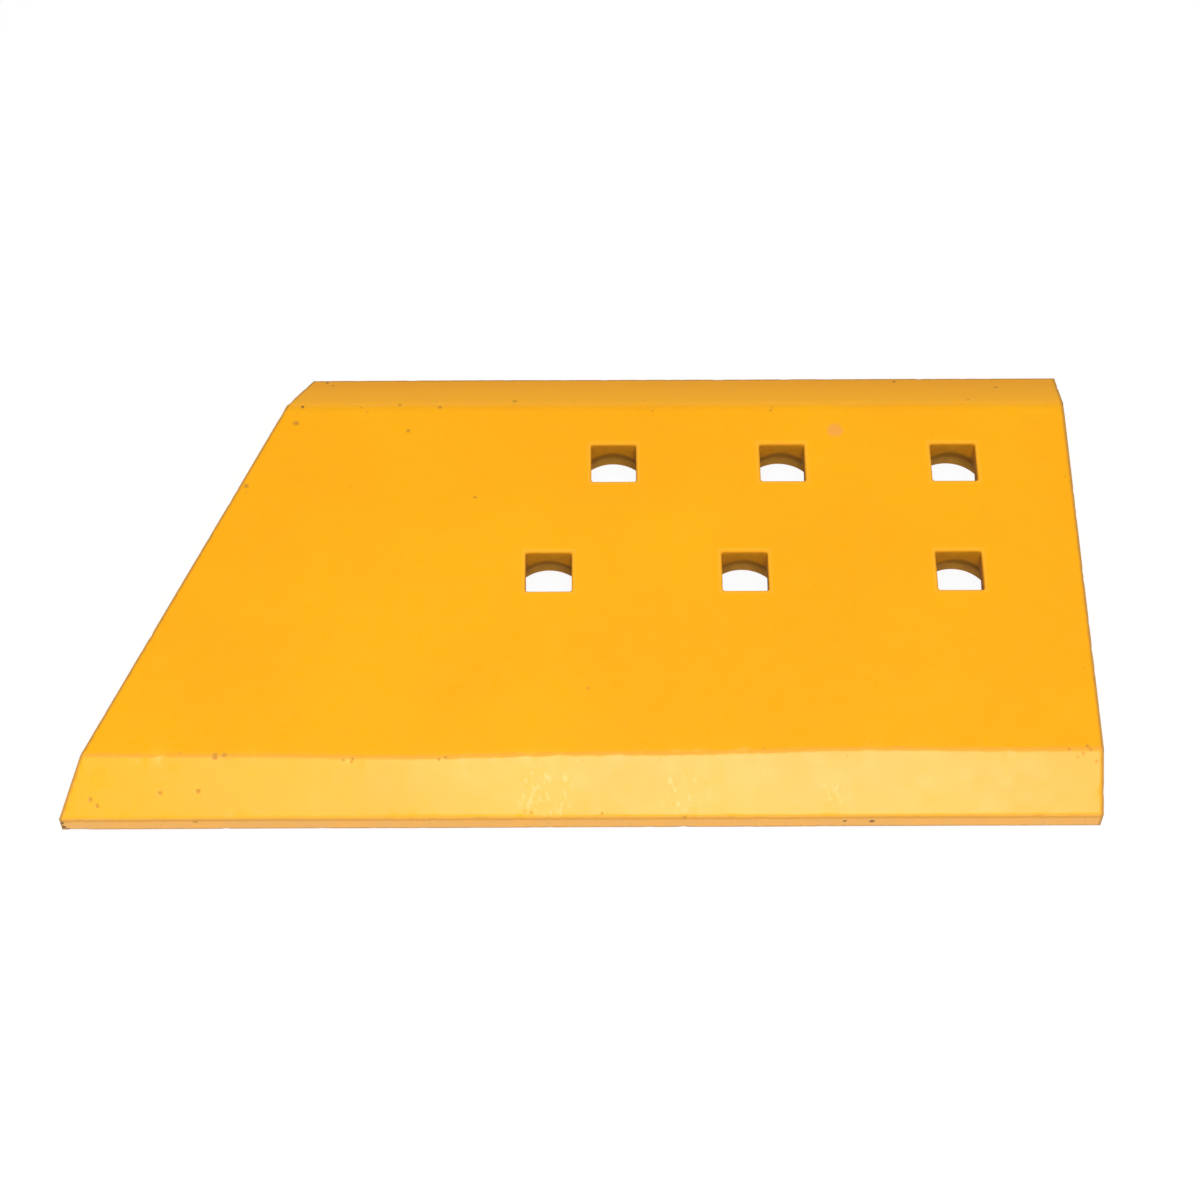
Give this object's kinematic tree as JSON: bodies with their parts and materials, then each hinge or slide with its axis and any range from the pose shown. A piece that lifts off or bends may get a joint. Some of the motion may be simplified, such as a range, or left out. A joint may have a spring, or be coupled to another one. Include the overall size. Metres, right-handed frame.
{
  "type": "dozer cutting edge end bit",
  "caption": "Flat yellow steel end bit for a dozer blade, bevelled along both long edges, with one slanted end and square-necked plow-bolt holes.",
  "frame": {"origin": "on the wear face, under the middle of the plate's box", "axes": "+X along the edges towards the square end, +Y from the cutting edge to the back edge, +Z out of the mounting face"},
  "size_m": [0.4897, 0.254, 0.0286],
  "materials": {
    "yellow_paint": "satin yellow enamel on rolled steel"
  },
  "bodies": {
    "root": {"end_bit_plate": "yellow_paint"}
  },
  "joints": []
}
